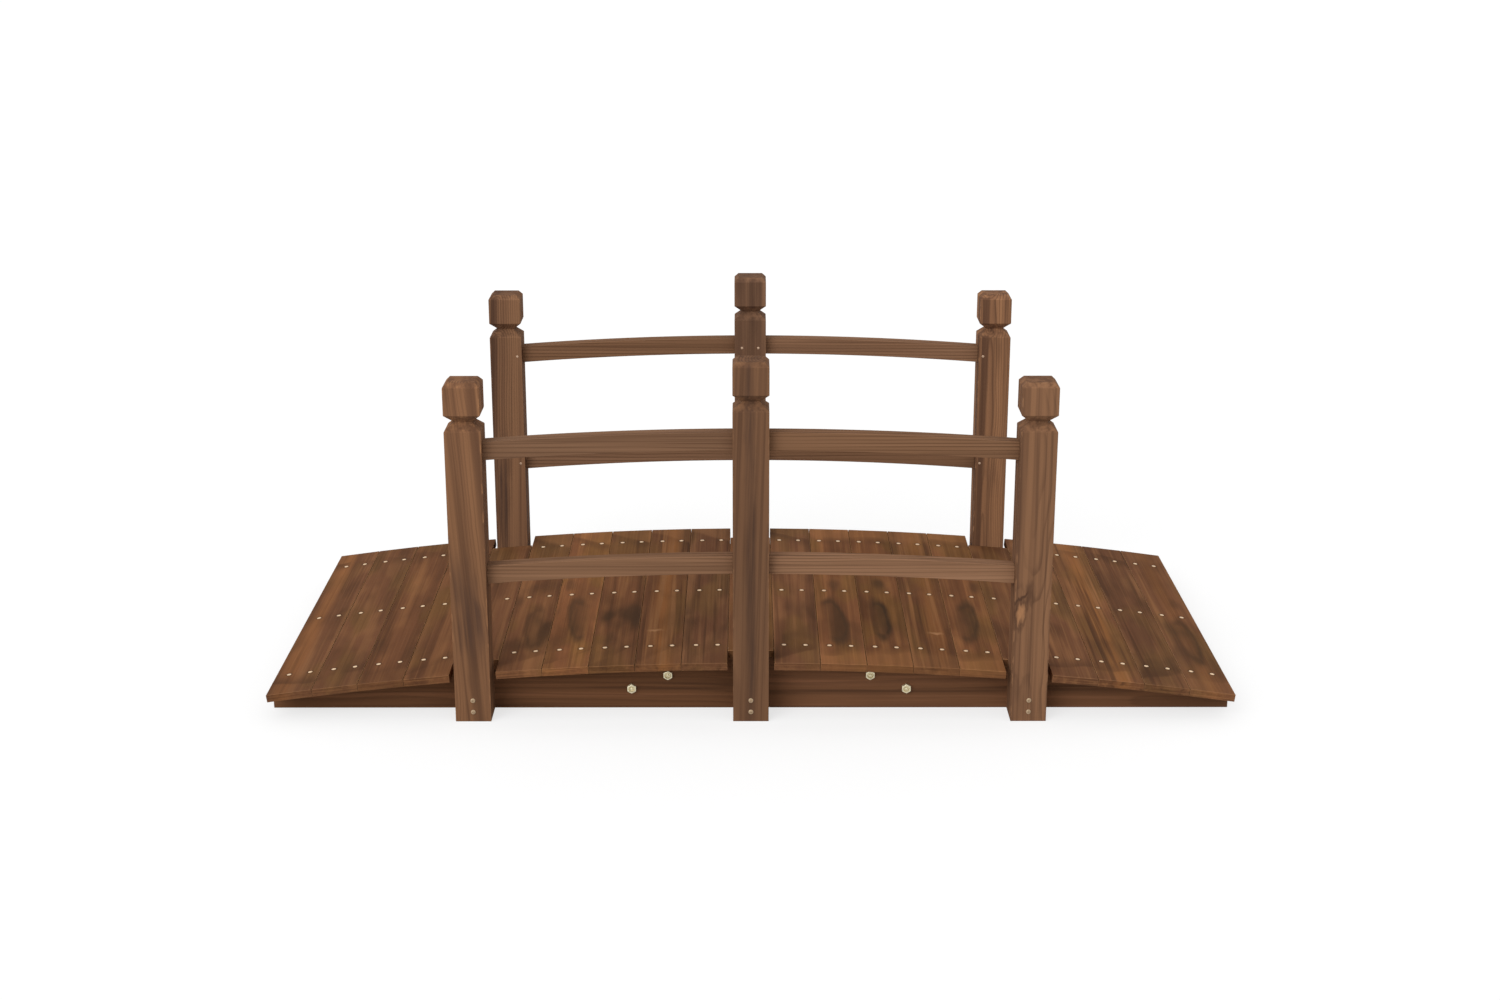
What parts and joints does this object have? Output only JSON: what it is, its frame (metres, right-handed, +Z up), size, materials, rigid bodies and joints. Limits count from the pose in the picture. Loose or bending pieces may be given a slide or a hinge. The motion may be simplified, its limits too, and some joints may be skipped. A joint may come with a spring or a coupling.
{
  "type": "garden bridge",
  "caption": "Arched wooden garden footbridge: a slatted deck on flat-bottomed stringers, with a low railing of capped square posts and curved rails along each side.",
  "frame": {"origin": "middle of the footprint, on the ground that the stringers and posts stand on", "axes": "+X along the bridge, +Y across it from the front railing to the rear one, +Z up"},
  "size_m": [1.5, 0.67, 0.5705],
  "materials": {
    "deck_wood": "brown stained softwood, matt, grain along the boards",
    "post_wood": "brown stained softwood, matt, grain along the post",
    "rail_wood": "brown stained softwood, matt, fine straight grain along the rail",
    "stringer_wood": "dark brown stained softwood, matt, grain along the stringer",
    "bolt_zinc": "yellow zinc plating on steel, satin",
    "nail_steel": "pale plated steel, satin"
  },
  "bodies": {
    "root": {"front_stringer_left": "stringer_wood", "front_stringer_right": "stringer_wood", "middle_stringer_left": "stringer_wood", "middle_stringer_right": "stringer_wood", "rear_stringer_left": "stringer_wood", "rear_stringer_right": "stringer_wood", "front_splice_plate": "stringer_wood", "middle_splice_plate": "stringer_wood", "rear_splice_plate": "stringer_wood", "deck_plank_01": "deck_wood", "deck_plank_02": "deck_wood", "deck_plank_03": "deck_wood", "deck_plank_04": "deck_wood", "deck_plank_05": "deck_wood", "deck_plank_06": "deck_wood", "deck_plank_07": "deck_wood", "deck_plank_08": "deck_wood", "deck_plank_09": "deck_wood", "deck_plank_10": "deck_wood", "deck_plank_11": "deck_wood", "deck_plank_12": "deck_wood", "deck_plank_13": "deck_wood", "deck_plank_14": "deck_wood", "deck_plank_15": "deck_wood", "deck_plank_16": "deck_wood", "deck_plank_17": "deck_wood", "deck_plank_18": "deck_wood", "deck_plank_19": "deck_wood", "deck_plank_20": "deck_wood", "deck_plank_21": "deck_wood", "front_left_post": "post_wood", "front_centre_post": "post_wood", "front_right_post": "post_wood", "rear_left_post": "post_wood", "rear_centre_post": "post_wood", "rear_right_post": "post_wood", "front_left_upper_rail": "rail_wood", "front_left_lower_rail": "rail_wood", "front_right_upper_rail": "rail_wood", "front_right_lower_rail": "rail_wood", "rear_left_upper_rail": "rail_wood", "rear_left_lower_rail": "rail_wood", "rear_right_upper_rail": "rail_wood", "rear_right_lower_rail": "rail_wood"}
  },
  "joints": []
}
